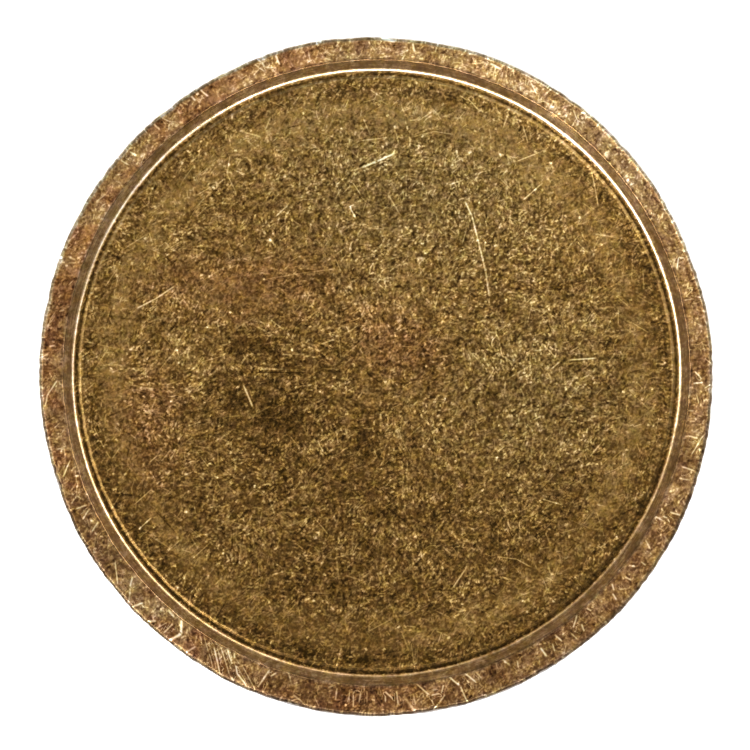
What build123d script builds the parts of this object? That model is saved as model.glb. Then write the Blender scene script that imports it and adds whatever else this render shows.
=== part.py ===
from build123d import *
import os

# Transit token: one disc of brass, struck between two plain dies. Both faces are alike. From the
# edge inwards a face has a rounded corner, a flat raised rim (the land), a slope down from it, a
# narrow floor at the slope's foot, a fine groove, and a field whose flat middle falls a little
# towards the groove. The token lies on one land, centred on the origin, with +Z up. Millimetres.

# Driving dimensions: the disc
token_diameter = 23.0
token_thickness = 1.6  # from land to land
corner_round = 0.14  # radius where the edge turns into a land

# Driving dimensions: the raised rim of each face
land_width = 0.93  # from the edge to where the slope begins
slope_width = 0.33  # how far the slope runs inwards
rim_height = 0.24  # from the land down to the foot of the slope
rim_round = 0.06  # radius where the land turns down into the slope
foot_round = 0.16  # radius where the slope meets the floor

# Driving dimensions: the groove and the field inside the rim
floor_width = 0.06  # level floor between the slope and the groove
groove_width = 0.18
groove_depth = 0.035
field_fall = 0.03  # how much lower the field is at the groove than in the middle
field_flat_diameter = 16.8  # the middle of the field, which is level

match = 0.0001  # how near a corner lies to the radius and height it is looked for at

# Worked out from the dimensions
token_radius = token_diameter / 2
land_height = token_thickness / 2  # heights are above the disc's middle plane
floor_height = land_height - rim_height
field_height = floor_height + field_fall
slope_top_radius = token_radius - land_width
slope_foot_radius = slope_top_radius - slope_width
groove_outer_radius = slope_foot_radius - floor_width
groove_inner_radius = groove_outer_radius - groove_width
field_flat_radius = field_flat_diameter / 2


def upper_half_section():
    """The outline of the disc's section above its middle plane, from the edge in to the axis."""
    edge_middle = (token_radius, 0)
    edge_top = (token_radius, land_height)
    slope_top = (slope_top_radius, land_height)
    slope_foot = (slope_foot_radius, floor_height)
    groove_outer = (groove_outer_radius, floor_height)
    groove_inner = (groove_inner_radius, floor_height)
    field_edge = (field_flat_radius, field_height)
    field_middle = (0, field_height)
    rim = Polyline(edge_middle, edge_top, slope_top, slope_foot, groove_outer)
    groove = SagittaArc(groove_outer, groove_inner, groove_depth)
    fall = TangentArc(field_edge, groove_inner, tangent=(1, 0))
    middle = Polyline(field_edge, field_middle, (0, 0), edge_middle)
    return make_face([*rim.edges(), groove, fall, *middle.edges()])


def corners_at(section, radius, height):
    """The section's two corners at a radius and at a height above and below the middle plane."""
    return [
        corner
        for corner in section.vertices()
        if abs(corner.X - radius) < match and abs(abs(corner.Y) - height) < match
    ]


def token_disc():
    """The whole disc: the section with its corners rounded, turned about the token's axis."""
    upper = upper_half_section()
    section = upper + mirror(upper, about=Plane.XZ)
    section = fillet(corners_at(section, token_radius, land_height), corner_round)
    section = fillet(corners_at(section, slope_top_radius, land_height), rim_round)
    section = fillet(corners_at(section, slope_foot_radius, floor_height), foot_round)
    upright = Plane(origin=(0, 0, land_height), x_dir=(1, 0, 0), z_dir=(0, -1, 0))
    return revolve(upright * section, axis=Axis.Z)


os.makedirs("parts", exist_ok=True)
export_step(token_disc(), "parts/token_disc.step")
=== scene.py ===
import math
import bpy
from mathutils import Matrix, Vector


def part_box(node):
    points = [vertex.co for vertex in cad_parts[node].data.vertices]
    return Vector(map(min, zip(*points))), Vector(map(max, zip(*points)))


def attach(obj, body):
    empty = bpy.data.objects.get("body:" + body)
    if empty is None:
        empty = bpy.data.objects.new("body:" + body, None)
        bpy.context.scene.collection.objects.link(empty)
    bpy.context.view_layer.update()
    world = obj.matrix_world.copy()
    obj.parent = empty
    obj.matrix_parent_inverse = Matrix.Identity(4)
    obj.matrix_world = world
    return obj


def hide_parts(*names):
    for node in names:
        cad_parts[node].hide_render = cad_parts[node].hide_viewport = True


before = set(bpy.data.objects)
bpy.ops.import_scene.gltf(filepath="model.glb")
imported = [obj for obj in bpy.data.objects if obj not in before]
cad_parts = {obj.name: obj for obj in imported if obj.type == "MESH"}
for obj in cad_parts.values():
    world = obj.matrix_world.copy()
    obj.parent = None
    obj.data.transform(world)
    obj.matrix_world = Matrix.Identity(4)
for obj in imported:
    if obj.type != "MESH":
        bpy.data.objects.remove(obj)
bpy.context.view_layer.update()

from types import SimpleNamespace

import bpy
import numpy as np
from mathutils import Vector

# A worn brass fare token, plain on both faces, lying on a pale floor. The shape code works in
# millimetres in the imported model's frame, and MM turns its lengths into Blender's metres.

MM = 0.001
node_low, node_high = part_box("token_disc")

# ---- The nominal shape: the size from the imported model, the proportions from its design ----

TOKEN_RADIUS = (node_high.x - node_low.x) / 2 / MM
THICKNESS = (node_high.z - node_low.z) / MM
CORNER_ROUND = 0.14
LAND_WIDTH = 0.93
SLOPE_WIDTH = 0.33
RIM_HEIGHT = 0.24
RIM_ROUND = 0.06
FOOT_ROUND = 0.16
FLOOR_WIDTH = 0.06
GROOVE_WIDTH = 0.18
GROOVE_DEPTH = 0.035
FIELD_FALL = 0.03
FIELD_FLAT = 8.4

# Radii of the parts of a face, from the outside in
LAND_RADIUS = TOKEN_RADIUS - CORNER_ROUND  # where the land ends and the rounded corner begins
SLOPE_TOP = TOKEN_RADIUS - LAND_WIDTH
SLOPE_FOOT = SLOPE_TOP - SLOPE_WIDTH
GROOVE_OUTER = SLOPE_FOOT - FLOOR_WIDTH
GROOVE_INNER = GROOVE_OUTER - GROOVE_WIDTH
GROOVE_RADIUS = (GROOVE_OUTER + GROOVE_INNER) / 2

# ---- How this worn token differs from the nominal shape ----

WEAR = 0.010  # how far the faces lie inside the nominal shape
EDGE_WEAR = 0.026  # how far the edge lies inside it
OUT_OF_ROUND = 0.12  # how much shorter the outline's half-width is one way
LONG_AXIS = math.radians(101)  # and the way it is long, anticlockwise from +X
UPPER_STRIKE = (0.015, 0.105)  # how far off centre each die struck
LOWER_STRIKE = (-0.05, -0.03)
LEAST_EDGE_WEAR = 0.012
OUTLINE_SWELL, OUTLINE_RIPPLE = 0.014, 0.006  # broad and fine waves in the outline
RIM_EDGE_WANDER, LIP_WANDER = 0.010, 0.008  # the rim's inner edge, the groove's
LIP_WEAR, CORNER_WEAR, MOST_CORNER_WEAR = 0.008, 0.006, 0.06
CORNER_WEAR_RADIUS = 11.44  # where the corner is worn most
SWELL, PEEL, GRAIN = 0.0035, 0.0020, 0.0010  # heights of the unevenness, from broad to fine
POLISH = 0.9  # the share of it that is missing where the slope is polished
EDGE_BULGE, EDGE_DENTS = 0.008, 0.003

CHIPS, BATTERED_CHIPS = 90, 24  # all round, and more on one side
BATTERED_SIDE, BATTERED_SPREAD = math.radians(-132), 0.26
CHIP_HALF_ANGLE, CHIP_DEPTH = (0.006, 0.026), (0.006, 0.028)  # ranges, in radians and in mm

# Marks on each face: a seed, and how many dents, field scratches and land nicks
UPPER_MARKS = (71, 1800, 3200, 560)
LOWER_MARKS = (172, 1200, 2400, 800)
UPPER_WEAR_SEED, LOWER_WEAR_SEED = 11, 211
# The ranges they are drawn from
NICK_HALF_LENGTH, NICK_WIDTH, NICK_DEPTH = (0.06, 0.26), (0.022, 0.042), (0.003, 0.012)
NICK_BRIGHT = (-0.5, 1.0)
SCRATCH_WIDTH, SCRATCH_DEPTH = (0.018, 0.032), (0.001, 0.004)
PALE_SCRATCH, DARK_SCRATCH, PALE_SHARE = (0.1, 0.8), (-0.6, -0.2), 0.7
DENT_RADIUS, DENT_STEEPNESS, DENT_BRIGHT = (0.05, 0.12), (-0.015, 0.042), 0.35
LAND_DENTS = 0.4  # how deep dents on the land are, against others
PLACED_DEPTH, PLACED_BRIGHT = 0.45, 1.6  # factors on the tables below

SCRATCH_REACH = 0.16  # how far to each side a scratch changes the relief
SCRATCH_CORE = 0.10  # how far to each side a placed scratch hides the others
NARROWEST_RELIEF = 0.045
BLUNT_END, SOFT_END = 0.03, 0.2  # how far an end fades, in mm, and as a share of the length
FAR_ACROSS = 99.0  # stored where a point is near no scratch

UPPER_CELLS = 320  # grid cells across each face; its rim then has four times as many sectors
LOWER_CELLS = 160
EDGE_ROWS = 14
GROOVE_STEPS, FOOT_STEPS, SLOPE_STEPS, TOP_STEPS, CORNER_STEPS = 8, 6, 6, 4, 8
CLOSEST_ROWS = 0.004  # rows of points nearer together than this are left out

# ---- Scratches placed on the upper face ----

# Each row has two or more points, x and y in hundredths of a mm, then a half-width and a depth in
# thousandths of a mm, and how bright in percent
FIELD_SCRATCHES = (
    (298, 580, 323, 527, 347, 430, 369, 338, 380, 257, 38, 6, 80), (-80, 682, -47, 693, 26, 4, 45),
    (-50, 692, 2, 714, 64, 742, 46, 7, 105), (-58, 783, 39, 795, 26, 3, 55),
    (-115, 603, -80, 641, -53, 600, 24, 3, 55), (-90, 566, -86, 550, -69, 520, 32, 5, 90),
    (-342, 525, -299, 565, 30, 4, 80), (242, 633, 293, 650, 26, 3, 60), (309, 927, 347, 887, 26, 3, 60),
    (-391, 311, -260, 334, -139, 349, 22, 3, 40), (-134, 400, -101, 425, 22, 3, 45),
    (1, 306, 34, 273, 22, 3, 45), (-810, 215, -745, 248, -680, 292, 32, 5, 85),
    (-450, -40, -415, -122, 42, 6, 105), (-952, -188, -938, -216, 26, 4, 65),
    (-931, -231, -918, -255, 26, 4, 65), (-911, -266, -898, -290, 26, 4, 60),
    (-766, -306, -738, -281, 24, 4, 60), (-818, -449, -755, -393, 22, 4, 60),
    (-805, -534, -757, -490, 26, 4, 80), (255, -729, 297, -668, 306, -651, 28, 4, 80),
    (-239, -742, -163, -746, 22, 3, 45), (336, -818, 405, -783, 50, 3, -50),
    (727, 680, 740, 616, 749, 559, 26, 3, 55), (470, 712, 555, 746, 26, 4, 55),
    (495, 582, 558, 638, 26, 4, 65), (494, 838, 512, 776, 26, 4, 55), (646, 41, 740, 47, 34, 5, 95),
    (550, -425, 625, -448, 26, 4, 70), (405, -622, 470, -630, 518, -656, 26, 4, 60),
    (-495, 735, -505, 670, -475, 610, 26, 3, 50), (-30, -875, 45, -835, 24, 3, 45),
    (115, 795, 195, 815, 260, 805, 22, 3, 45), (-620, -630, -560, -575, 22, 3, 45),
    (95, -230, 155, -175, 22, 3, 45), (715, -290, 760, -235, 22, 3, 50),
    (-210, -490, -160, -550, 20, 3, 45), (-405, 20, -320, 20, -240, 16, 30, 3, -45),
    (-400, 10, -320, 10, -246, 7, 26, 2, 45), (-405, 0, -320, -1, -240, -2, 30, 3, -45),
    (-324, 59, -233, 62, 24, 3, 45), (-185, 95, -142, 111, 30, 4, 75), (-358, 178, -314, 144, 26, 3, 60),
    (-104, 156, -90, 137, -58, 162, 26, 3, 60), (-126, 113, -121, 45, 22, 3, 45),
    (-200, -229, -178, -273, 24, 3, 60), (591, 12, 619, 36, 28, 4, 70), (653, 69, 682, 86, 26, 3, 55),
)
# The same on the land, where x and y are tenths of a degree clockwise from +Y and hundredths of a
# mm beyond a radius of 10 mm
LAND_SCRATCHES = (
    (1871, 110, 1871, 71, 34, 10, 80), (1850, 114, 1846, 68, 34, 10, 80),
    (1839, 128, 1841, 81, 1835, 73, 34, 10, 80), (1835, 73, 1828, 79, 1830, 112, 32, 10, 75),
    (1823, 62, 1821, 76, 30, 8, 70), (1784, 108, 1784, 76, 1766, 108, 36, 12, 90),
    (1766, 108, 1764, 76, 1762, 119, 34, 10, 80), (1751, 95, 1733, 146, 52, 10, 55),
    (1728, 58, 1706, 101, 1701, 133, 34, 12, 85), (1704, 102, 1685, 100, 1679, 76, 34, 12, 85),
    (1703, 148, 1690, 126, 1679, 106, 34, 12, 85), (1667, 56, 1650, 93, 1644, 146, 36, 14, 95),
    (1638, 55, 1620, 99, 32, 10, 80), (1003, 135, 1048, 101, 28, 8, 75),
    (1013, 115, 1016, 74, 34, 10, 65), (1068, 133, 1072, 76, 34, 10, 70),
    (1086, 128, 1093, 83, 30, 8, 55), (1148, 137, 1154, 95, 36, 10, 80),
    (1169, 113, 1165, 98, 1167, 80, 36, 10, 85), (1186, 110, 1189, 85, 30, 8, 55),
    (1228, 104, 1220, 65, 34, 10, 60), (1254, 119, 1255, 96, 34, 10, 75), (1268, 92, 1275, 69, 30, 8, 60),
    (1290, 110, 1295, 83, 38, 10, 80), (1333, 116, 1331, 89, 40, 10, 90),
    (1326, 87, 1320, 65, 38, 10, 80), (1380, 83, 1384, 65, 36, 10, 75), (1411, 119, 1408, 92, 40, 10, 85),
    (1425, 87, 1405, 60, 36, 10, 80), (1428, 124, 1433, 92, 30, 8, 65), (1450, 101, 1455, 62, 34, 10, 75),
    (1453, 101, 1459, 69, 36, 10, 90), (1473, 115, 1470, 87, 34, 10, 75),
    (1489, 115, 1493, 78, 42, 12, 95), (1543, 105, 1540, 78, 30, 8, 55),
    (2264, 142, 2254, 105, 44, 12, 90), (2308, 135, 2343, 85, 30, 8, 70),
    (2290, 104, 2300, 72, 42, 10, 80), (2408, 104, 2416, 63, 36, 10, 75),
    (2435, 113, 2445, 72, 38, 10, 70), (2458, 122, 2453, 72, 38, 10, 80),
    (2518, 126, 2540, 72, 34, 10, 80), (2645, 135, 2663, 122, 2685, 78, 42, 12, 85),
    (2748, 117, 2749, 90, 40, 10, 80), (2810, 95, 2813, 72, 36, 10, 65), (2910, 122, 2905, 85, 44, 8, 45),
    (3101, 134, 3101, 93, 30, 8, 65), (3122, 129, 3122, 97, 38, 10, 75),
    (3185, 138, 3185, 106, 40, 10, 85), (3203, 129, 3208, 102, 32, 8, 60),
    (3265, 138, 3266, 111, 44, 12, 90), (3284, 140, 3288, 97, 40, 12, 90),
    (3400, 129, 3400, 106, 44, 10, 75), (3426, 136, 3426, 93, 42, 12, 100),
    (3482, 120, 3480, 83, 30, 8, 50), (8, 148, 34, 137, 80, 14, 100), (63, 137, 68, 98, 46, 12, 85),
    (200, 125, 223, 119, 60, 10, 85), (278, 124, 300, 87, 30, 8, 60), (365, 124, 390, 87, 26, 6, 55),
    (605, 130, 615, 104, 30, 8, 60), (692, 126, 691, 99, 711, 72, 36, 10, 80),
    (913, 113, 898, 72, 40, 12, 90), (915, 113, 921, 67, 34, 10, 85), (940, 85, 955, 99, 34, 8, 60),
    (2228, 144, 2216, 120, 44, 12, 85), (2212, 66, 2193, 70, 44, 12, 80),
    (2190, 90, 2194, 138, 34, 12, 90), (2182, 58, 2168, 102, 2179, 146, 56, 14, 105),
    (2144, 144, 2134, 105, 40, 12, 85), (2116, 60, 2072, 113, 2050, 140, 40, 12, 100),
    (2106, 58, 2088, 91, 34, 10, 85), (2107, 73, 2074, 144, 36, 12, 95),
    (2083, 60, 2064, 93, 2033, 130, 34, 12, 90), (2069, 60, 2048, 116, 2026, 138, 36, 12, 95),
    (1996, 60, 2008, 138, 38, 12, 90), (1983, 66, 1992, 84, 32, 10, 75), (2096, 62, 2059, 130, 24, 8, 70),
    (2123, 75, 2089, 140, 24, 8, 70), (2060, 75, 2018, 130, 24, 8, 65), (2046, 85, 2009, 142, 24, 8, 65),
    (2132, 60, 2110, 100, 22, 8, 60), (2199, 98, 2209, 142, 24, 8, 65),
    (1944, 120, 1923, 138, 34, 10, 65),
)
# Spots, blobs and hollows, in the field's units: x and y, radius, height, how bright. The bright spots
# with no height are painted glints.
SPOTS = (
    (-640, -468, 70, 0, 100), (-535, -354, 60, 0, 90), (-645, -696, 65, 0, 100), (107, -750, 60, 0, 90),
    (-233, -769, 110, 12, 55), (-206, -816, 150, 14, 55), (580, 216, 110, 0, 60),
    (670, -55, 130, 0, 40), (700, -213, 170, 0, 40), (-490, -80, 320, -2, -35),
    (-260, -35, 300, -2, -35), (-320, -150, 550, -2, -30), (-30, -240, 450, -2, -35),
    (-370, 85, 400, -2, -30), (-460, 95, 450, -2, -30), (-240, -940, 220, -3, -40),
    (-100, -962, 170, -3, -40), (-35, -966, 180, -3, -40),
)


# ---- Seeded noise ----


def smooth_step(low, high, value):
    """0 below low, 1 above high, with a smooth rise between."""
    share = np.clip((value - low) / (high - low), 0.0, 1.0)
    return share * share * (3.0 - 2.0 * share)


def bell(value, middle, width):
    """1 where value is at the middle, falling to nothing over the width either side."""
    return np.exp(-(((value - middle) / width) ** 2))


def lattice_noise(x, y, cell, seed):
    """Smooth noise from -1 to 1 over the plane, whose bumps are about one cell across."""
    side = 128
    values = np.random.default_rng(seed).uniform(-1.0, 1.0, (side, side))
    u, v = x / cell, y / cell
    low_u, low_v = np.floor(u).astype(int), np.floor(v).astype(int)
    share_u, share_v = smooth_step(0, 1, u - low_u), smooth_step(0, 1, v - low_v)
    near, east, north, far = [
        values[(low_u + right) % side, (low_v + up) % side] for up in (0, 1) for right in (0, 1)
    ]
    south_side = near + (east - near) * share_u
    north_side = north + (far - north) * share_u
    return south_side + (north_side - south_side) * share_v


def layered_noise(x, y, cell, seed, layers=3, fall=0.5):
    """A sum of lattice noises, each turned and on half the cell of the last."""
    total = np.zeros_like(x)
    strength = 1.0
    for layer in range(layers):
        turn = 0.7 * layer
        turned_x = x * math.cos(turn) - y * math.sin(turn)
        turned_y = x * math.sin(turn) + y * math.cos(turn)
        total += strength * lattice_noise(turned_x, turned_y, cell / 2**layer, seed + layer)
        strength *= fall
    return total


def ring_noise(angle, lowest, highest, seed):
    """Seamless noise round the token, made of waves from lowest to highest per turn."""
    rng = np.random.default_rng(seed)
    total = np.zeros_like(angle)
    power = 0.0
    for wave in range(lowest, highest + 1):
        size = rng.uniform(0.3, 1.0) / math.sqrt(wave)
        total += size * np.sin(wave * angle + rng.uniform(0, 2 * math.pi))
        power += size * size / 2
    return total / math.sqrt(power)


def edge_chips(angle, seed, count, centre=None, spread=0.5):
    """How deep the chips in the outline are, in mm, at each angle."""
    rng = np.random.default_rng(seed)
    total = np.zeros_like(angle)
    for _ in range(count):
        at = rng.uniform(0, 2 * math.pi) if centre is None else rng.normal(centre, spread)
        half = rng.uniform(*CHIP_HALF_ANGLE)
        apart = np.abs((angle - at + math.pi) % (2 * math.pi) - math.pi)
        total = np.maximum(total, rng.uniform(*CHIP_DEPTH) * bell(apart, 0.0, half))
    return total


# ---- Dents and scratches in the surface ----


def end_fade(inside, length, fades):
    """How much of a scratch is left this far inside an end."""
    if not fades:
        return smooth_step(-BLUNT_END, 0.0, inside)
    fade = SOFT_END * length
    return smooth_step(-0.3 * fade, 0.7 * fade, inside)


class Marks:
    """Marks on one face: how far they lower it, and what the material needs of them.

    A scratch is finer than the mesh, so each point stores its signed distance from the nearest
    one, in half-widths. That value crosses zero along the scratch, between the points.
    """

    def __init__(self, x, y):
        self.x, self.y = x, y
        self.cut = np.zeros_like(x)
        self.bare_and_glints = np.zeros_like(x)
        self.across = np.full_like(x, FAR_ACROSS)
        self.bright = np.zeros_like(x)
        self.order = np.argsort(x, kind="stable")
        self.sorted_x = x[self.order]

    def points_near(self, low, high):
        """The indices of the points in a box, given its two corners."""
        first, last = np.searchsorted(self.sorted_x, (low[0], high[0]))
        near = self.order[first:last]
        return near[(self.y[near] > low[1]) & (self.y[near] < high[1])]

    def scratch(self, start, end, width, depth, bright, fades=(True, True), on_top=False):
        """A straight scratch with raised lips, its relief wide enough for the mesh."""
        low = np.minimum(start, end) - SCRATCH_REACH
        high = np.maximum(start, end) + SCRATCH_REACH
        near = self.points_near(low, high)
        run = np.subtract(end, start)
        length = np.hypot(*run)
        from_x, from_y = self.x[near] - start[0], self.y[near] - start[1]
        share = (from_x * run[0] + from_y * run[1]) / length**2
        across = (from_y * run[0] - from_x * run[1]) / length
        ends = end_fade(share * length, length, fades[0])
        ends *= end_fade((1.0 - share) * length, length, fades[1])
        relief_width = max(width, NARROWEST_RELIEF)
        valley = bell(across, 0.0, relief_width) * ends
        lips = bell(np.abs(across), 1.8 * relief_width, 0.7 * relief_width) * ends
        self.cut[near] = np.maximum(self.cut[near], depth * valley) - 0.3 * depth * lips
        widths = across / width
        new_bright = bright * ends
        new_score = np.abs(widths) / (np.abs(new_bright) + 0.05)
        old_score = np.abs(self.across[near]) / (np.abs(self.bright[near]) + 0.05)
        wins = new_score < old_score
        if on_top:
            wins |= (np.abs(across) < SCRATCH_CORE) & (ends > 0.0)
        self.across[near[wins]] = widths[wins]
        self.bright[near[wins]] = new_bright[wins]

    def dent(self, centre, radius, depth, bright):
        """A round dent, or a blob where depth is below 0."""
        reach = 2.0 * radius
        near = self.points_near(np.subtract(centre, reach), np.add(centre, reach))
        bowl = bell(np.hypot(self.x[near] - centre[0], self.y[near] - centre[1]), 0.0, radius)
        self.cut[near] += depth * bowl
        stronger = np.abs(bright * bowl) > np.abs(self.bare_and_glints[near])
        self.bare_and_glints[near[stronger]] = (bright * bowl)[stronger]


def arrow(angle, length):
    """A step in the plane of the face, with its angle anticlockwise from +X."""
    return np.array([math.cos(angle), math.sin(angle)]) * length


def scatter_land_nicks(marks, rng, count):
    """Short nicks on the land: most cross it, and some run along it."""
    for _ in range(count):
        around = rng.uniform(0, 2 * math.pi)
        radius = rng.uniform(SLOPE_TOP + 0.08, LAND_RADIUS + 0.05)
        turn = around + rng.normal(0.0, 0.8)
        half = rng.uniform(*NICK_HALF_LENGTH)
        middle, along = arrow(around, radius), arrow(turn, half)
        width = rng.uniform(*NICK_WIDTH)
        bright = rng.uniform(*NICK_BRIGHT)
        marks.scratch(middle - along, middle + along, width, rng.uniform(*NICK_DEPTH), bright)


def scatter_field_scratches(marks, rng, count):
    """Scratches over the field, more of them leaning up to the right."""
    for _ in range(count):
        around = rng.uniform(0, 2 * math.pi)
        radius = (GROOVE_INNER - 0.2) * math.sqrt(rng.uniform())
        lean = rng.normal(0.8, 0.5) if rng.uniform() < 0.4 else rng.uniform(0, math.pi)
        half = min(0.09 + rng.exponential(0.11), 0.6)
        middle, along = arrow(around, radius), arrow(lean, half)
        width = rng.uniform(*SCRATCH_WIDTH)
        bright = rng.uniform(*(PALE_SCRATCH if rng.uniform() < PALE_SHARE else DARK_SCRATCH))
        marks.scratch(middle - along, middle + along, width, rng.uniform(*SCRATCH_DEPTH), bright)


def scatter_dents(marks, rng, count):
    """Small dents, and a few blobs, over the whole face."""
    for _ in range(count):
        around = rng.uniform(0, 2 * math.pi)
        out = (TOKEN_RADIUS - 0.2) * math.sqrt(rng.uniform())
        radius = rng.uniform(*DENT_RADIUS)
        depth = radius * rng.uniform(*DENT_STEEPNESS)
        if out > SLOPE_TOP:
            depth *= LAND_DENTS
        marks.dent(arrow(around, out), radius, depth, DENT_BRIGHT * rng.uniform() ** 3)


def scattered_marks(x, y, seed, dents, scratches, nicks):
    """The marks scattered over one face, so many of each kind."""
    marks = Marks(x, y)
    rng = np.random.default_rng(seed)
    scatter_dents(marks, rng, dents)
    scatter_field_scratches(marks, rng, scratches)
    scatter_land_nicks(marks, rng, nicks)
    return marks


def field_point(x, y):
    """The point that a row for the field gives."""
    return (x / 100, y / 100)


def land_point(clockwise, radius):
    """The point that a row for the land gives."""
    turn, radius = math.radians(clockwise / 10), (1000 + radius) / 100
    return (radius * math.sin(turn), radius * math.cos(turn))


def place_scratches(marks, rows, to_point):
    """Adds a table's scratches, piece by piece; they fade where their path ends."""
    for *numbers, width, depth, bright in rows:
        path = [to_point(*pair) for pair in zip(numbers[::2], numbers[1::2])]
        depth, bright = PLACED_DEPTH * (depth / 1000), PLACED_BRIGHT * (bright / 100)
        for start, end in zip(path, path[1:]):
            fades = (start == path[0], end == path[-1])
            marks.scratch(start, end, width / 1000, depth, bright, fades, on_top=True)


def place_marks(marks):
    """Adds the placed scratches and spots to the upper face's marks."""
    place_scratches(marks, FIELD_SCRATCHES, field_point)
    place_scratches(marks, LAND_SCRATCHES, land_point)
    for x, y, radius, height, bright in SPOTS:
        marks.dent(field_point(x, y), radius / 1000, -height / 1000, bright / 100)


# ---- The section of the rim ----


def line_points(start, end, steps):
    """Evenly spaced points on a straight line of the section."""
    shares = np.linspace(0.0, 1.0, steps + 1)
    return [tuple(np.add(start, np.subtract(end, start) * share)) for share in shares]


def arc_points(centre, radius, first, last, steps):
    """Points on an arc of the section, with angles in degrees from outwards."""
    turns = np.radians(np.linspace(first, last, steps + 1))
    return [(centre[0] + radius * math.cos(t), centre[1] + radius * math.sin(t)) for t in turns]


def groove_points(steps):
    """The groove, from its inner lip to its outer lip."""
    half = GROOVE_WIDTH / 2
    bend = (half**2 + GROOVE_DEPTH**2) / (2 * GROOVE_DEPTH)
    found = []
    for across in np.linspace(-half, half, steps + 1):
        sag = math.sqrt(bend**2 - across**2) - (bend - GROOVE_DEPTH)
        found.append((GROOVE_RADIUS + across, -RIM_HEIGHT - sag))
    return found


def rim_section(spacing):
    """(radius, height above the land) from the groove's inner lip out to the edge."""
    slope = math.atan2(RIM_HEIGHT, SLOPE_WIDTH)
    tilt = math.degrees(slope)
    foot = FOOT_ROUND * math.tan(slope / 2)
    top = RIM_ROUND * math.tan(slope / 2)
    rise = np.array([math.cos(slope), math.sin(slope)])
    slope_start = (SLOPE_FOOT, -RIM_HEIGHT) + foot * rise
    slope_end = (SLOPE_TOP, 0.0) - top * rise
    foot_centre = (SLOPE_FOOT - foot, FOOT_ROUND - RIM_HEIGHT)
    top_centre = (SLOPE_TOP + top, -RIM_ROUND)
    corner_centre = (LAND_RADIUS, -CORNER_ROUND)
    land_steps = round(LAND_WIDTH / spacing)
    found = groove_points(GROOVE_STEPS)
    found += arc_points(foot_centre, FOOT_ROUND, -90, tilt - 90, FOOT_STEPS)
    found += line_points(slope_start, slope_end, SLOPE_STEPS)
    found += arc_points(top_centre, RIM_ROUND, 90 + tilt, 90, TOP_STEPS)
    found += line_points((SLOPE_TOP + top, 0.0), (LAND_RADIUS, 0.0), land_steps)
    found += arc_points(corner_centre, CORNER_ROUND, 90, 0, CORNER_STEPS)
    kept = [found[0]]
    for point in found[1:]:
        if math.dist(point, kept[-1]) > CLOSEST_ROWS:
            kept.append(point)
    return kept[1:]


# ---- One face, nominal ----


def concentric_grid(cells):
    """The points of a square grid, mapped evenly onto a unit disc."""
    steps = np.linspace(-1.0, 1.0, cells + 1)
    a, b = np.meshgrid(steps, steps, indexing="ij")
    wide = np.abs(a) > np.abs(b)
    radius = np.where(wide, a, b)
    safe_a = np.where(wide, a, 1.0)
    safe_b = np.where(wide | (b == 0.0), 1.0, b)
    wide_angle = math.pi / 4 * b / safe_a
    tall_angle = math.pi / 2 - math.pi / 4 * a / safe_b
    angle = np.where(wide, wide_angle, tall_angle)
    return (radius * np.cos(angle)).ravel(), (radius * np.sin(angle)).ravel()


def grid_border(cells):
    """The indices of the grid's border points, anticlockwise."""
    side = cells + 1
    steps = np.arange(cells)
    east = cells * side + steps
    north = (cells - steps) * side + cells
    west = cells - steps
    south = steps * side
    return np.concatenate([east, north, west, south])


def band(low_ring, high_ring):
    """The quads between two rings of points, for a face seen from above."""
    return np.stack([low_ring, high_ring, np.roll(high_ring, -1), np.roll(low_ring, -1)], axis=1)


def nominal_face(cells):
    """x, y, height above the land, quads and the outer ring of an unworn face."""
    grid_x, grid_y = concentric_grid(cells)
    x, y = [grid_x * GROOVE_INNER], [grid_y * GROOVE_INNER]
    fall = smooth_step(FIELD_FLAT, GROOVE_INNER, np.hypot(x[0], y[0]))
    height = [FIELD_FALL * (1.0 - fall) - RIM_HEIGHT]
    side = cells + 1
    first = (np.arange(cells)[:, None] * side + np.arange(cells)).ravel()
    quads = [np.stack([first, first + side, first + side + 1, first + 1], axis=1)]
    ring = grid_border(cells)
    angle = np.arctan2(y[0][ring], x[0][ring])
    count = side * side
    for radius, level in rim_section(2 * GROOVE_INNER / cells * 0.8):
        x.append(radius * np.cos(angle))
        y.append(radius * np.sin(angle))
        height.append(np.full(len(angle), level))
        next_ring = np.arange(count, count + len(angle))
        quads.append(band(ring, next_ring))
        ring = next_ring
        count += len(angle)
    return *map(np.concatenate, (x, y, height, quads)), ring


# ---- Wear ----


def outline_shift(angle, seed):
    """How far the worn outline lies outside the nominal one, in mm; it is below 0."""
    oval = OUT_OF_ROUND * np.sin(angle - LONG_AXIS) ** 2
    uneven = OUTLINE_SWELL * ring_noise(angle, 3, 20, seed)
    uneven += OUTLINE_RIPPLE * ring_noise(angle, 40, 260, seed + 1)
    chips = edge_chips(angle, seed + 2, CHIPS)
    battered = edge_chips(angle, seed + 3, BATTERED_CHIPS, BATTERED_SIDE, BATTERED_SPREAD)
    worn = np.maximum(EDGE_WEAR + uneven, LEAST_EDGE_WEAR)
    return -(oval + worn + np.maximum(chips, battered))


def worn_place(x, y, radius, angle, lip, strike, seed):
    """Where a face's points lie, seen from above, once worn and struck off centre."""
    outer_share = smooth_step(SLOPE_TOP - 0.02, TOKEN_RADIUS - 0.02, radius)
    rim_edge = bell(radius, SLOPE_TOP + 0.02, 0.09)
    move = outline_shift(angle, seed) * outer_share
    move += RIM_EDGE_WANDER * ring_noise(angle, 12, 160, seed + 5) * rim_edge
    move += LIP_WANDER * ring_noise(angle, 9, 90, seed + 6) * lip
    scale = 1.0 + move / np.maximum(radius, 1.0)
    off_centre = 1.0 - outer_share
    return x * scale + strike[0] * off_centre, y * scale + strike[1] * off_centre


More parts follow.
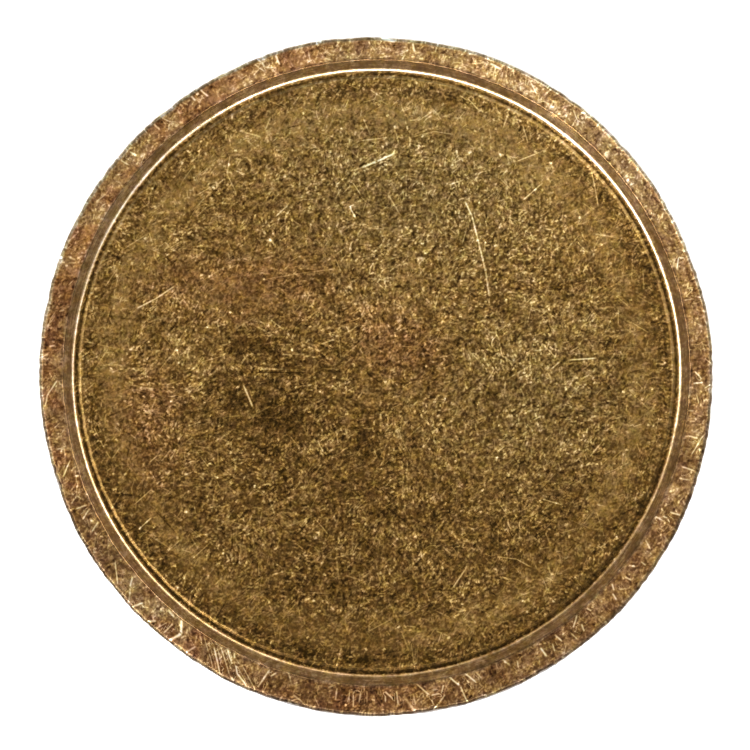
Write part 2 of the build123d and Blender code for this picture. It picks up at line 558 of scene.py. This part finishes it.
def unevenness(x, y, seed):
    """How far a face rises and falls, in mm, before it is polished."""
    broad = SWELL * layered_noise(x, y, 4.5, seed + 10, 2)
    peel = PEEL * layered_noise(x, y, 0.80, seed + 20, 3, 0.6)
    return broad + peel + GRAIN * lattice_noise(x, y, 0.11, seed + 30)


def worn_face(x, y, height, marks, strike, seed):
    """A face's points once worn, with z as the height above the nominal land."""
    radius, angle = np.hypot(x, y), np.arctan2(y, x)
    lip = bell(radius, GROOVE_INNER, 0.08)
    worn_x, worn_y = worn_place(x, y, radius, angle, lip, strike, seed)
    polished = np.maximum(bell(radius, SLOPE_FOOT + 0.10, 0.17), 0.8 * lip)
    facing_up = smooth_step(TOKEN_RADIUS, LAND_RADIUS - 0.16, radius)
    relief = (unevenness(x, y, seed) - marks.cut) * (1.0 - POLISH * polished) * facing_up
    lip_wear = LIP_WEAR * bell(radius, GROOVE_INNER + 0.01, 0.06)
    corner_wear = CORNER_WEAR * (1.0 + ring_noise(angle, 5, 40, seed + 7))
    corner_wear *= bell(radius, CORNER_WEAR_RADIUS, 0.10)
    corner_wear = np.clip(corner_wear, 0.0, MOST_CORNER_WEAR)
    worn_height = height - WEAR - lip_wear - corner_wear + relief
    return np.stack([worn_x, worn_y, np.minimum(worn_height, 0.0)], axis=1)


def edge_rows(upper_ring, lower_ring):
    """Rows of points down the edge, between the outer rings of the two faces."""
    rows = []
    for share in np.arange(1, EDGE_ROWS) / EDGE_ROWS:
        row = upper_ring + (lower_ring - upper_ring) * share
        drift_x, drift_y = row[:, 0] / 4 + 17.0 * share, row[:, 1] / 4
        broad = lattice_noise(drift_x, drift_y, 1.0, 501)
        fine = lattice_noise(row[:, 0] + 5.0 * share, row[:, 1], 0.3, 502)
        bulge = EDGE_BULGE * math.sin(math.pi * share)
        row[:, :2] *= (1.0 + (bulge + EDGE_DENTS * (broad + fine)) / TOKEN_RADIUS)[:, None]
        rows.append(row)
    return rows


def build_token():
    """The worn token as one closed mesh: points, faces and point attributes."""
    up_x, up_y, up_height, up_quads, up_ring = nominal_face(UPPER_CELLS)
    low_x, low_y, low_height, low_quads, low_ring = nominal_face(LOWER_CELLS)
    up_marks = scattered_marks(up_x, up_y, *UPPER_MARKS)
    place_marks(up_marks)
    low_marks = scattered_marks(low_x, low_y, *LOWER_MARKS)
    upper = worn_face(up_x, up_y, up_height, up_marks, UPPER_STRIKE, UPPER_WEAR_SEED)
    lower = worn_face(low_x, low_y, low_height, low_marks, LOWER_STRIKE, LOWER_WEAR_SEED)
    upper[:, 2] += THICKNESS
    lower[:, 2] *= -1.0
    low_edge = lower[low_ring]
    halfway = (low_edge + np.roll(low_edge, -1, axis=0)) / 2
    low_edge_fine = np.stack([low_edge, halfway], axis=1).reshape(-1, 3)
    rows = edge_rows(upper[up_ring], low_edge_fine)
    sectors = len(up_ring)
    rings = [up_ring] + [len(upper) + np.arange(sectors) + sectors * k for k in range(len(rows))]
    faces = np.concatenate([up_quads, *map(band, rings, rings[1:])]).tolist()
    lower_start = len(upper) + sectors * len(rows)
    faces += (low_quads[:, ::-1] + lower_start).tolist()
    last, below = rings[-1], low_ring + lower_start
    join = [last[0::2], below, np.roll(below, -1), np.roll(last, -2)[0::2], last[1::2]]
    faces += np.stack(join, axis=1).tolist()
    edge = np.ones(sectors * len(rows))
    parts = {
        "nominal_radius": (np.hypot(up_x, up_y), TOKEN_RADIUS * edge, np.hypot(low_x, low_y)),
        "bare_and_glints": (up_marks.bare_and_glints, 0.0 * edge, low_marks.bare_and_glints),
        "scratch_across": (up_marks.across, FAR_ACROSS * edge, low_marks.across),
        "scratch_bright": (up_marks.bright, 0.0 * edge, low_marks.bright),
    }
    attributes = {name: np.concatenate(values) for name, values in parts.items()}
    return np.concatenate([upper, *rows, lower]), faces, attributes


def add_object(name, data):
    """A new object in the scene."""
    made = bpy.data.objects.new(name, data)
    bpy.context.scene.collection.objects.link(made)
    return made


def make_token():
    """The token's object."""
    points, faces, attributes = build_token()
    mesh = bpy.data.meshes.new("struck_token")
    mesh.from_pydata((points * MM).tolist(), [], faces)
    mesh.shade_smooth()
    for name, values in attributes.items():
        attribute = mesh.attributes.new(name, "FLOAT", "POINT")
        attribute.data.foreach_set("value", values.astype(np.float32))
    return add_object("struck_token", mesh)


# ---- Materials ----


def srgb(red, green, blue):
    """A colour given as it looks, from 0 to 255, in the linear values of nodes."""
    linear = []
    for part in (red, green, blue):
        value = part / 255
        linear.append(value / 12.92 if value <= 0.04045 else ((value + 0.055) / 1.055) ** 2.4)
    return (*linear, 1.0)


class Tree:
    """Short calls that add nodes to one node tree."""

    def __init__(self, tree):
        self.tree = tree

    def feed(self, socket, value):
        """Links a socket to another, or sets its value."""
        if isinstance(value, bpy.types.NodeSocket):
            self.tree.links.new(value, socket)
        else:
            socket.default_value = value

    def node(self, kind, inputs=(), **settings):
        """A node with settings, and with inputs given as (name, value)."""
        made = self.tree.nodes.new("ShaderNode" + kind)
        for name, value in settings.items():
            setattr(made, name, value)
        for name, value in inputs:
            self.feed(made.inputs[name], value)
        return made

    def math(self, operation, *values):
        """The result of a calculation on numbers."""
        return self.node("Math", enumerate(values), operation=operation).outputs[0]

    def times(self, first, second):
        """The product of two numbers."""
        return self.math("MULTIPLY", first, second)

    def vector(self, operation, *values):
        """The result of a calculation on vectors."""
        made = self.node("VectorMath", enumerate(values), operation=operation)
        return made.outputs["Value" if operation in ("DOT_PRODUCT", "LENGTH") else "Vector"]

    def scaled(self, vector, factor):
        """A vector times a number."""
        inputs = [(0, vector), ("Scale", factor)]
        return self.node("VectorMath", inputs, operation="SCALE").outputs[0]

    def turned(self, vector, angle):
        """A vector turned about Z, anticlockwise."""
        inputs = [("Vector", vector), ("Angle", angle)]
        return self.node("VectorRotate", inputs, rotation_type="Z_AXIS").outputs[0]

    def towards(self, place, x, y):
        """How far a place lies the way that x and y point."""
        return self.vector("DOT_PRODUCT", place, (x, y, 0.0))

    def rise(self, value, low, high, first=0.0, last=1.0):
        """first where value is below low, last where it is above high, smooth between."""
        inputs = [("Value", value), ("From Min", low), ("From Max", high)]
        inputs += [("To Min", first), ("To Max", last)]
        made = self.node("MapRange", inputs, interpolation_type="SMOOTHSTEP")
        return made.outputs[0]

    def hill(self, value, middle, half_width):
        """1 where value is at the middle, 0 beyond the half-width either side."""
        apart = self.math("ABSOLUTE", self.math("SUBTRACT", value, middle))
        return self.rise(apart, 0.0, half_width, 1.0, 0.0)

    def weighted(self, start, *terms):
        """A number plus the sum of (value, weight) terms."""
        total = start
        for value, weight in terms:
            total = self.math("MULTIPLY_ADD", value, weight, total)
        return total

    def highest(self, *values):
        """The highest of several values."""
        found = values[0]
        for value in values[1:]:
            found = self.math("MAXIMUM", found, value)
        return found

    def noise_node(self, vector, cell, detail, roughness):
        """A noise texture whose bumps are about one cell across."""
        inputs = [("Vector", vector), ("Scale", 1.0 / cell)]
        inputs += [("Detail", detail), ("Roughness", roughness)]
        return self.node("TexNoise", inputs)

    def noise(self, vector, cell, detail=2.0, roughness=0.5):
        """Noise from -0.5 to 0.5."""
        made = self.noise_node(vector, cell, detail, roughness)
        return self.math("SUBTRACT", made.outputs[0], 0.5)

    def colour_noise(self, vector, cell, detail=2.0, roughness=0.5):
        """Three noises from 0 to 1, as a vector."""
        return self.noise_node(vector, cell, detail, roughness).outputs[1]

    def mix(self, share, first, second, blend_type="MIX"):
        """One colour mixed with another."""
        made = self.node("Mix", data_type="RGBA", blend_type=blend_type)
        for index, value in ((0, share), (6, first), (7, second)):
            self.feed(made.inputs[index], value)
        return made.outputs[2]

    def shifted(self, colour, share, factors):
        """A colour multiplied by factors, to the degree that share gives."""
        return self.mix(share, colour, self.mix(1.0, colour, factors, "MULTIPLY"))

    def between(self, share, first, second):
        """A number that goes from the first to the second as share goes from 0 to 1."""
        return self.node("Mix", [(0, share), (2, first), (3, second)]).outputs[0]

    def attribute(self, name):
        """A value stored at the mesh's points."""
        return self.node("Attribute", attribute_name=name).outputs["Fac"]

    def ramp(self, value, stops):
        """A colour from (position, colour) stops."""
        made = self.node("ValToRGB", [(0, value)])
        elements = made.color_ramp.elements
        while len(elements) < len(stops):
            elements.new(0.5)
        for element, (position, colour) in zip(elements, stops):
            element.position = position
            element.color = colour
        return made.outputs[0]

    def even_ramp(self, value, colours):
        """A colour from evenly spaced ones, each given as it looks, from 0 to 255."""
        last = len(colours) - 1
        return self.ramp(value, [(i / last, srgb(*colour)) for i, colour in enumerate(colours)])


def strokes_in_cells(tree, place, lean, seed, cell, length, width, spread, share):
    """From 0 to 1: a short bowed scratch in each of many scattered cells, all sizes in mm."""
    shifted = tree.vector("ADD", place, (7.3 * seed, 3.1 * seed, 0.0))
    in_cells = tree.scaled(shifted, 1.0 / cell)
    inputs = [("Vector", in_cells), ("Scale", 1.0)]
    scatter = tree.node("TexVoronoi", inputs, voronoi_dimensions="2D")
    local = tree.vector("SUBTRACT", in_cells, scatter.outputs["Position"])
    chance = tree.node("SeparateColor", [(0, scatter.outputs["Color"])]).outputs
    turn = tree.math("SUBTRACT", tree.weighted(-spread / 2, (chance[0], spread)), lean)
    x, y, _ = tree.node("SeparateXYZ", [(0, tree.turned(local, turn))]).outputs
    bow = tree.weighted(-0.2, (chance[1], 0.4))
    bend = tree.times(tree.times(x, x), bow)
    across = tree.math("ABSOLUTE", tree.math("ADD", y, bend))
    along = tree.math("ABSOLUTE", x)
    thin = tree.rise(across, 0.2 * width / cell, 0.5 * width / cell, 1.0, 0.0)
    long = tree.rise(along, 0.25 * length / cell, 0.5 * length / cell, 1.0, 0.0)
    there = tree.math("LESS_THAN", chance[2], share)
    strength = tree.times(there, tree.weighted(0.3, (chance[1], 0.7)))
    return tree.times(tree.times(thin, long), strength)


def patch(tree, place, x, y, half_width, half_height, lean=0):
    """1 in the middle of a soft oval patch, 0 outside it."""
    offset = tree.vector("SUBTRACT", place, (x, y, 0.0))
    turned = tree.turned(offset, -math.radians(lean))
    relative = tree.vector("DIVIDE", turned, (half_width, half_height, 1.0))
    apart = tree.vector("LENGTH", relative)
    return tree.rise(apart, 0.0, 1.0, 1.0, 0.0)


# ---- What the token's paint is made of ----

# Layers of small marks, in mm: seed, cell, length, width, spread of lean, share of the cells
MARK_LAYERS = (
    (1, 0.16, 0.14, 0.080, 2.4, 0.85),
    (2, 0.23, 0.23, 0.085, 1.8, 0.85),
    (3, 0.36, 0.50, 0.064, 1.5, 0.65),
    (4, 0.28, 0.28, 0.120, 2.2, 0.8),  # pits
    # The last layer paints glints as scattered pale dots.
    (5, 0.42, 0.14, 0.100, 3.1, 0.40),  # specks
)
STROKE_LEAN = 0.8  # radians anticlockwise from +X

# Rings of the face: the radius where each is strongest, and its half-width
RINGS = {
    "groove": (GROOVE_RADIUS + 0.02, 0.10), "foot": (SLOPE_FOOT + 0.005, 0.085),
    "lip": (GROOVE_INNER + 0.01, 0.09), "rim_edge": (SLOPE_TOP + 0.01, 0.10),
    "beside_groove": (9.66, 0.48), "brassy_ring": (8.85, 0.75), "inner_land": (10.75, 0.17),
    "outer_land": (11.22, 0.20),
}
# Zones of the face: between which radii each sets in, going outwards
ZONES = {
    "land": (SLOPE_TOP - 0.04, SLOPE_TOP + 0.05),
    "corner": (LAND_RADIUS - 0.06, TOKEN_RADIUS - 0.05),
    "side": (TOKEN_RADIUS - 0.05, TOKEN_RADIUS),
    "near_rim": (8.6, 9.6), "quiet_start": (7.9, 8.8), "quiet_end": (9.2, 9.7),
}
# Soft oval patches: centre x and y, half-widths, then any lean in degrees
PATCHES = {
    "smooth_patch": (-4.8, 3.2, 4.6, 1.9, 4), "north_east": (7.8, 7.8, 5.5, 5.5),
    "south_west": (-7.7, -7.9, 4.0, 4.0), "west": (-9.0, 5.5, 6.0, 7.5),
    "south_land": (0.0, -10.5, 3.4, 1.3), "west_land": (-11.0, 0.5, 2.0, 4.5),
}
# The same with ragged outlines: the last number is how much darker the field is there
FIELD_SHADES = (
    (-3.3, -1.6, 3.4, 3.0, -25, 0.08), (0.6, -5.0, 5.5, 4.0, -10, 0.03),
    (5.6, -4.6, 3.2, 2.4, 30, 0.03), (9.2, 2.5, 2.6, 5.5, 0, 0.06), (3.0, 3.0, 1.4, 1.0, 0, 0.04),
    (-4.8, 5.8, 2.6, 1.3, 35, 0.03), (5.3, 6.6, 2.2, 1.4, -40, -0.05), (0.4, 7.6, 2.6, 1.6, 0, -0.03),
    (-8.8, 2.6, 3.4, 6.5, 0, -0.025), (-6.5, -6.5, 4.5, 2.6, -45, -0.015),
    (-6.2, 7.0, 3.0, 1.8, 42, -0.03), (4.5, -7.9, 4.0, 1.4, 32, -0.05),
)
REDDER_PATCHES = (
    (-4.6, 3.0, 5.2, 1.9, 4), (0.6, 1.2, 2.8, 1.8, -35), (-7.6, -1.8, 1.8, 3.6, 8),
)
GREYER_PATCH = (1.4, 6.4, 7.5, 5.0, -12)
FAINT_GREYER_PATCH = (5.5, -0.5, 5.5, 5.5)

# The tables that follow name features of the surface, or products of two, with their weights in
# a sum. Busy is how strong the fine texture is:
BUSY_START = 1.0
BUSY = {
    "side": -0.25, "land": -0.22, "quiet": -0.40, "lip": -0.5, "smooth_patch": -0.3, "marked": -0.5,
}
# How much darker the land is:
LAND_SHADES = {
    "pale_land": -0.06, "west": 0.035, "inner_land * north": -0.075, "outer_land * north": 0.07,
    "south_land": 0.110, "west_land": 0.030,
}
# The tone, from 0 for dark to 1 for pale, of the field, the land and the edge, with painted light and
# shade in it:
WORKED_START = 0.272
WORKED = {
    "fine * busy": 0.27, "granular * busy": 0.62, "mottled": 0.38, "mottled * land": 0.16,
    # The specks paint glints as scattered pale dots.
    "cloudy": 0.16, "strokes": 0.31, "pits * busy": -0.20, "specks": 0.30, "streaks * near_rim": 0.14,
    # The dents and spots are paler partly as bare metal and partly as painted glints.
    # corner * upper and corner * left make the corner paler at the top and the left, painted light over
    # its worn metal.
    "bare_and_glints": 0.40, "land": 0.045, "corner * upper": 1.0, "corner * left": 1.0, "lip": 0.17,
    # The lip is paler partly as a worn lip and partly as a painted highlight; lip * southern is painted
    # shade on it.
    # groove paints shade along the bottom of the groove.
    # rim_edge * lit paints shade on the rim's top edge, on the side that the right softbox lights.
    "lip * southern": -0.26, "rim_edge * lit": -0.08, "groove": -0.26, "beside_groove": -0.05,
    # brassy_ring is a painted sheen, where the dished field reflects the lamps.
    "brassy_ring": 0.05, "towards_light": 0.007, "darker": -1.0, "marked": 0.38,
}
# The tone of the slope, which the die left smooth, with painted highlight and shade on it:
CALM_START = 0.49
CALM = {
    # The foot is paler partly as burnished metal and partly as a painted highlight; foot * southern, foot
    # * western and foot * south_west add painted shade where that line lies dull.
    "mottled": 0.34, "granular": 0.40, "fine": 0.12, "strokes": 0.08, "streaks": 0.35, "foot": 0.36,
    "foot * southern": -0.20, "foot * western": -0.10, "foot * south_west": -0.14,
    # north_east and west paint light on the slope; rim_edge * south_west and rim_edge * lit paint shade
    # on its rounded top edge.
    "rim_edge * south_west": -0.08, "north_east": 0.09, "west": 0.08, "marked": 0.15,
    "rim_edge * lit": -0.08,
}
ROUGHNESS_START = 0.42
ROUGHNESS = {
    "slope": -0.17, "foot": 0.12, "groove": 0.15, "granular * rough_zone": 0.20, "marked": -0.05,
}
RELIEF = {"fine": 0.7, "granular": 1.0, "strokes": 0.35, "pits": -0.3}
RELIEF_HEIGHT = 0.006

# Colours as they look at evenly spaced tones, from dark to pale
BRASS = ((36, 24, 8), (76, 54, 24), (126, 98, 54), (186, 157, 104), (248, 232, 190))
COPPERY = ((40, 24, 12), (86, 60, 34), (135, 106, 67), (195, 170, 124), (250, 237, 205))
# What colours are multiplied by to shift them
REDDER_FIELD = (1.07, 0.96, 1.09, 1.0)
REDDER_LAND = (1.10, 0.92, 0.90, 1.0)
WARMER_SLOPE = (1.07, 0.94, 0.90, 1.0)
PALER = (0.92, 1.00, 1.22, 1.0)
NEUTRAL_CORNER = (0.90, 1.00, 1.18, 1.0)
GREYER = (0.92, 1.01, 1.14, 1.0)
TINT_SPREAD, TINT_START = (0.42, 0.11, 1.30), (0.79, 0.945, 0.31)


def find_places(tree):
    """A point's place in mm, in each way that the textures are laid out."""
    at = SimpleNamespace()
    at.place = tree.scaled(tree.node("TexCoord").outputs["Object"], 1.0 / MM)
    at.x, at.y, at.z = tree.node("SeparateXYZ", [(0, at.place)]).outputs
    at.flat = tree.node("CombineXYZ", [(0, at.x), (1, at.y)]).outputs[0]
    at.radius = tree.attribute("nominal_radius")
    # This one widens with height, so that flat patterns don't streak down the edge
    field_level = THICKNESS - RIM_HEIGHT + FIELD_FALL
    widening = tree.weighted(1.0 - field_level / TOKEN_RADIUS, (at.z, 1.0 / TOKEN_RADIUS))
    at.unrolled = tree.scaled(at.flat, widening)
    wobble = tree.colour_noise(at.place, 1.6)
    ragged = tree.vector("MULTIPLY_ADD", wobble, (2.2, 2.2, 0.0), at.flat)
    at.ragged = tree.vector("SUBTRACT", ragged, (1.1, 1.1, 0.0))
    return at


def feature(tree, at, name):
    """A feature by its name, or the product of two of them."""
    first, *others = [getattr(at, part) for part in name.split(" * ")]
    return tree.times(first, *others) if others else first


def summed(tree, at, start, weights):
    """A start value plus the features that a table names, times their weights."""
    return tree.weighted(start, *[(feature(tree, at, name), w) for name, w in weights.items()])


def find_zones(tree, at):
    """Adds the token's rings, zones and patches: 1 where each is, 0 elsewhere."""
    for name, (middle, half_width) in RINGS.items():
        setattr(at, name, tree.hill(at.radius, middle, half_width))
    for name, (low, high) in ZONES.items():
        setattr(at, name, tree.rise(at.radius, low, high))
    for name, oval in PATCHES.items():
        setattr(at, name, patch(tree, at.flat, *oval))
    low, high = GROOVE_OUTER - 0.02, GROOVE_OUTER + 0.05
    at.inside = tree.rise(at.radius, low, high, 1.0, 0.0)
    at.slope = tree.math("SUBTRACT", tree.math("SUBTRACT", 1.0, at.land), at.inside)
    at.rough_zone = tree.math("SUBTRACT", 1.0, at.slope)
    at.quiet = tree.math("SUBTRACT", at.quiet_start, at.quiet_end)
    line = tree.hill(tree.attribute("scratch_across"), 0.0, 1.5)
    at.marked = tree.times(line, tree.attribute("scratch_bright"))
    at.bare_and_glints = tree.attribute("bare_and_glints")
    at.busy = summed(tree, at, BUSY_START, BUSY)


def find_sides(tree, at):
    """Adds what differs from one side of the token to another. On the foot, the lip, the rim edge and the
    corner, these masks paint light and shade into the colour.
    """
    at.towards_light = tree.towards(at.flat, 0.05, 1.0)
    at.lit = tree.rise(tree.towards(at.flat, 0.50, 0.87), 0.0, 6.0)
    at.southern = tree.rise(tree.towards(at.flat, 0.42, -0.91), 3.5, 8.5)
    at.western = tree.rise(tree.towards(at.flat, -0.95, -0.30), 4.0, 9.5)
    at.north = tree.rise(at.y, -2.0, 6.0)
    # upper and left make the worn corner paler at the top and the left: painted light.
    at.upper = tree.rise(at.y, -5.0, 5.0, -0.03, 0.12)
    at.left = tree.rise(at.x, -9.0, 0.0, 0.06, 0.0)
    at.pale_land = tree.highest(at.north_east, at.south_west)


def find_textures(tree, at):
    """Adds the noises and the scattered strokes, pits and painted glints."""
    at.fine = tree.noise(at.place, 0.085, 1.0)
    at.granular = tree.noise(at.place, 0.17, 2.0, 0.6)
    at.mottled = tree.noise(at.place, 0.70, 3.0, 0.55)
    at.cloudy = tree.noise(at.place, 3.2, 2.0)
    lathe_lines = tree.weighted(0.0, (at.radius, 30.0), (at.z, 9.0))
    lathe_parts = [(0, at.x), (1, at.y), (2, lathe_lines)]
    lathe_place = tree.node("CombineXYZ", lathe_parts).outputs[0]
    at.streaks = tree.noise(lathe_place, 1.3, 2.0)
    lean = tree.weighted(STROKE_LEAN, (tree.noise(at.place, 1.8, 1.0), 4.5))
    layers = [strokes_in_cells(tree, at.unrolled, lean, *layer) for layer in MARK_LAYERS]
    *strokes, at.pits, at.specks = layers
    crowded = tree.rise(tree.noise(at.place, 1.1, 2.0, 0.6), -0.16, 0.16, 0.52, 1.14)
    at.strokes = tree.times(tree.highest(*strokes), tree.times(crowded, at.busy))


def token_tone(tree, at):
    """How pale the metal is, from 0 to 1."""
    ovals = [(patch(tree, at.ragged, *oval), part) for *oval, part in FIELD_SHADES]
    field_darker = tree.weighted(0.0, *ovals)
    land_darker = summed(tree, at, 0.0, LAND_SHADES)
    at.darker = tree.between(at.inside, land_darker, field_darker)
    worked = summed(tree, at, WORKED_START, WORKED)
    calm = summed(tree, at, CALM_START, CALM)
    return tree.between(at.slope, worked, calm)


def redness(tree, at):
    """How strongly the colour is shifted towards copper red."""
    field = tree.highest(*[patch(tree, at.ragged, *oval) for oval in REDDER_PATCHES])
    left_side = tree.rise(at.x, -9.0, 6.0, 1.5, 0.3)
    cloud = tree.weighted(0.5, (at.cloudy, 1.5), (at.mottled, -2.0))
    land = tree.times(tree.rise(cloud, 0.30, 0.80), left_side)
    land = tree.times(land, tree.math("SUBTRACT", 1.0, at.corner))
    return tree.between(at.land, field, land)


def paleness(tree, at):
    """How strongly the colour is shifted towards a paler, less yellow one. On the slope's foot this
    paints a highlight, weaker on the southern side, and on the groove's lip it is partly a painted
    highlight.
    """
    return tree.highest(
        tree.times(at.foot, tree.weighted(1.0, (at.southern, -0.8))),
        at.corner,
        tree.times(at.lip, 0.7),
        tree.times(at.rim_edge, 0.8),
        tree.times(tree.times(at.marked, at.land), 0.3),
        tree.times(tree.times(at.pale_land, at.land), 0.6),
    )


def greyness(tree, at):
    """How strongly the colour is shifted towards grey."""
    faint = tree.times(patch(tree, at.ragged, *FAINT_GREYER_PATCH), 0.8)
    return tree.highest(patch(tree, at.ragged, *GREYER_PATCH), faint)


def token_colour(tree, at):
    """The metal's colour."""
    tone = token_tone(tree, at)
    coppery_share = tree.weighted(at.land, (at.slope, 0.8))
    base = tree.mix(coppery_share, tree.even_ramp(tone, BRASS), tree.even_ramp(tone, COPPERY))
    base = tree.shifted(base, redness(tree, at), tree.mix(at.land, REDDER_FIELD, REDDER_LAND))
    base = tree.shifted(base, at.slope, WARMER_SLOPE)
    base = tree.shifted(base, paleness(tree, at), PALER)
    base = tree.shifted(base, at.corner, NEUTRAL_CORNER)
    base = tree.shifted(base, greyness(tree, at), GREYER)
    tint = tree.colour_noise(at.place, 0.35, 3.0, 0.75)
    tint = tree.vector("MULTIPLY_ADD", tint, TINT_SPREAD, TINT_START)
    return tree.vector("MULTIPLY", base, tint)


def new_material(name):
    """A material, and the shader in its nodes."""
    material = bpy.data.materials.new(name)
    material.use_nodes = True
    return material, material.node_tree.nodes["Principled BSDF"]


def worn_brass():
    """Tarnished brass, bright where it is rubbed and scratched, with highlights, glints, a sheen and
    shade painted into its colour.
    """
    material, shader = new_material("worn_brass")
    tree = Tree(material.node_tree)
    at = find_places(tree)
    find_zones(tree, at)
    find_sides(tree, at)
    find_textures(tree, at)
    shader.inputs["Metallic"].default_value = 1.0
    tree.feed(shader.inputs["Base Color"], token_colour(tree, at))
    tree.feed(shader.inputs["Roughness"], summed(tree, at, ROUGHNESS_START, ROUGHNESS))
    height = tree.times(summed(tree, at, 0.0, RELIEF), at.rough_zone)
    inputs = [("Height", height), ("Strength", 1.0), ("Distance", RELIEF_HEIGHT * MM)]
    tree.feed(shader.inputs["Normal"], tree.node("Bump", inputs).outputs[0])
    return material


def pale_floor():
    """A plain near-white floor."""
    material, shader = new_material("pale_floor")
    shader.inputs["Base Color"].default_value = (0.93, 0.93, 0.93, 1.0)
    shader.inputs["Roughness"].default_value = 1.0
    shader.inputs["Specular IOR Level"].default_value = 0.0
    return material


# ---- Studio ----

# Lamps: name, degrees clockwise from +Y, elevation, distance, width, height, watts
LAMPS = (
    ("right_softbox", 50, 53, 0.110, 0.066, 0.044, 0.095),
    ("left_strip", 250, 50, 0.25, 0.22, 0.030, 0.60),
    ("rear_strip", 188, 52, 0.25, 0.28, 0.030, 0.75),
)
# How bright the dome is: (height of the direction, from 0 at the horizon; brightness)
DOME = ((0.00, 1.00), (0.24, 0.92), (0.38, 0.25), (0.70, 0.40), (0.92, 0.75))
FLOOR_HALF_WIDTH = 1.0
FOCAL_LENGTH, SENSOR_WIDTH = 300.0, 36.0
SEEN_WIDTH = 25.26  # how much of the token's plane the camera sees, in mm
CAMERA_ELEVATION = 86.5
AIM = (-0.035, -0.005)  # where the camera is aimed on the token's upper face, in mm


def make_floor():
    """A square of floor under the token."""
    half = FLOOR_HALF_WIDTH
    corners = [(-half, -half, 0.0), (half, -half, 0.0), (half, half, 0.0), (-half, half, 0.0)]
    mesh = bpy.data.meshes.new("floor")
    mesh.from_pydata(corners, [], [(0, 1, 2, 3)])
    mesh.materials.append(pale_floor())
    return add_object("floor", mesh)


def direction(clockwise, elevation):
    """A unit direction, in degrees clockwise from +Y and above the floor."""
    turn, lift = math.radians(clockwise), math.radians(elevation)
    along = math.cos(lift)
    return Vector((math.sin(turn) * along, math.cos(turn) * along, math.sin(lift)))


def place_facing(name, data, target, towards, distance):
    """Puts a lamp or the camera some way off a target, facing it."""
    made = add_object(name, data)
    made.location = target + towards * distance
    made.rotation_euler = towards.to_track_quat("Z", "Y").to_euler()
    return made


def softbox(name, clockwise, elevation, distance, width, height, watts):
    """A rectangular lamp that faces the token."""
    lamp = bpy.data.lights.new(name, "AREA")
    lamp.shape = "RECTANGLE"
    lamp.size, lamp.size_y = width, height
    lamp.energy = watts
    place_facing(name, lamp, Vector(), direction(clockwise, elevation), distance)


def studio_world():
    """A dome that is bright overhead, dimmer lower down and pale at the horizon."""
    world = bpy.data.worlds.new("studio")
    world.use_nodes = True
    tree = Tree(world.node_tree)
    background = world.node_tree.nodes["Background"]
    place = tree.node("TexCoord").outputs["Generated"]
    up = tree.node("SeparateXYZ", [(0, place)]).outputs[2]
    dome = tree.ramp(up, [(height, (level, level, level, 1.0)) for height, level in DOME])
    tree.feed(background.inputs["Color"], dome)
    background.inputs["Strength"].default_value = 1.0
    bpy.context.scene.world = world


def make_camera():
    """A long lens, nearly straight above the token."""
    data = bpy.data.cameras.new("camera")
    data.lens = FOCAL_LENGTH
    data.sensor_width = SENSOR_WIDTH
    data.clip_start = 0.01
    target = Vector((AIM[0] * MM, AIM[1] * MM, THICKNESS * MM))
    distance = SEEN_WIDTH * MM * FOCAL_LENGTH / SENSOR_WIDTH
    camera = place_facing("camera", data, target, direction(180.0, CAMERA_ELEVATION), distance)
    bpy.context.scene.camera = camera


token = make_token()
token.data.materials.append(worn_brass())
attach(token, "root")
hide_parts("token_disc")
make_floor()
studio_world()
for lamp_settings in LAMPS:
    softbox(*lamp_settings)
make_camera()
bpy.context.scene.view_settings.view_transform = "Standard"
